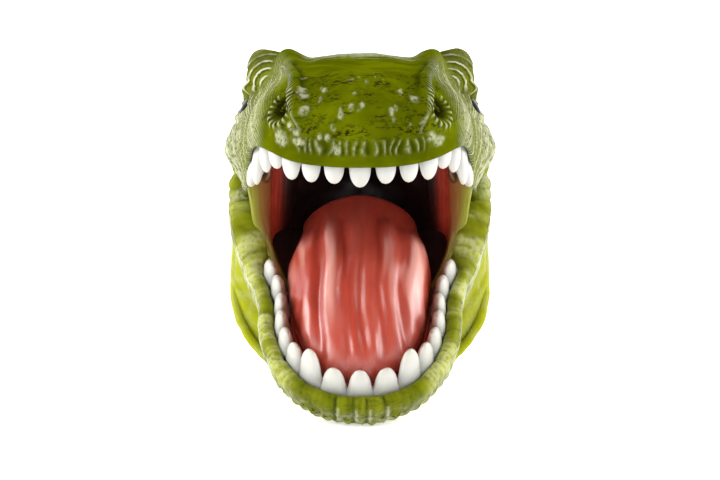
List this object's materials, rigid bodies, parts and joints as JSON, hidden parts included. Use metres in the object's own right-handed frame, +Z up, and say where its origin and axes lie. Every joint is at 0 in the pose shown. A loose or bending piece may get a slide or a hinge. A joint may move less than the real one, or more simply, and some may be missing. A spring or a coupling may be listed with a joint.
{
  "type": "dinosaur hand puppet",
  "caption": "Soft rubber dinosaur head worn on the hand, with a gaping toothed mouth: fingers lift the snout, the thumb works the hinged lower jaw.",
  "frame": {"origin": "middle of the footprint of the part's box, on the table that it lies on", "axes": "+Z up, -Y towards the tip of the snout, +X towards the picture's right-hand side"},
  "size_m": [0.1066, 0.1714, 0.1384],
  "materials": {
    "skin": "satin, airbrushed",
    "pale_skin": "satin, airbrushed",
    "mouth_lining": "satin",
    "tongue": "glossy paint",
    "tooth": "satin paint",
    "eye": "glossy"
  },
  "bodies": {
    "neck": {"neck_sleeve": "skin", "nape_fold": "skin", "throat_fold": "pale_skin", "throat_lining": "mouth_lining", "cheek_web_left": "mouth_lining", "cheek_web_right": "mouth_lining"},
    "head": {"skull_skin": "skin", "palate": "mouth_lining", "eye_left": "eye", "eye_right": "eye", "upper_tooth_middle": "tooth", "upper_tooth_left_1": "tooth", "upper_tooth_right_1": "tooth", "upper_tooth_left_2": "tooth", "upper_tooth_right_2": "tooth", "upper_tooth_left_3": "tooth", "upper_tooth_right_3": "tooth", "upper_tooth_left_4": "tooth", "upper_tooth_right_4": "tooth", "upper_tooth_left_5": "tooth", "upper_tooth_right_5": "tooth", "upper_tooth_left_6": "tooth", "upper_tooth_right_6": "tooth", "upper_tooth_left_7": "tooth", "upper_tooth_right_7": "tooth", "upper_tooth_left_8": "tooth", "upper_tooth_right_8": "tooth"},
    "jaw": {"jaw_skin": "pale_skin", "mouth_floor": "mouth_lining", "tongue": "tongue", "lower_tooth_middle": "tooth", "lower_tooth_left_1": "tooth", "lower_tooth_right_1": "tooth", "lower_tooth_left_2": "tooth", "lower_tooth_right_2": "tooth", "lower_tooth_left_3": "tooth", "lower_tooth_right_3": "tooth", "lower_tooth_left_4": "tooth", "lower_tooth_right_4": "tooth", "lower_tooth_left_5": "tooth", "lower_tooth_right_5": "tooth", "lower_tooth_left_6": "tooth", "lower_tooth_right_6": "tooth", "lower_tooth_left_7": "tooth", "lower_tooth_right_7": "tooth", "lower_tooth_left_8": "tooth", "lower_tooth_right_8": "tooth"}
  },
  "joints": [
    {"name": "snout_lift", "type": "hinge", "parent": "neck", "child": "head", "pos_m": [0, 0.02365, 0.085], "axis": [-1, 0, 0], "range_deg": [-10, 8], "stiffness_Nm_per_rad": 0.7, "springref_deg": 4.58, "deforming": ["nape_fold", "throat_lining", "cheek_web_left", "cheek_web_right"]},
    {"name": "jaw_close", "type": "hinge", "parent": "neck", "child": "jaw", "pos_m": [0, 0.02365, 0.085], "axis": [-1, 0, 0], "range_deg": [0, 36], "stiffness_Nm_per_rad": 0.5, "springref_deg": -22.92, "deforming": ["throat_fold", "throat_lining", "cheek_web_left", "cheek_web_right"]}
  ]
}
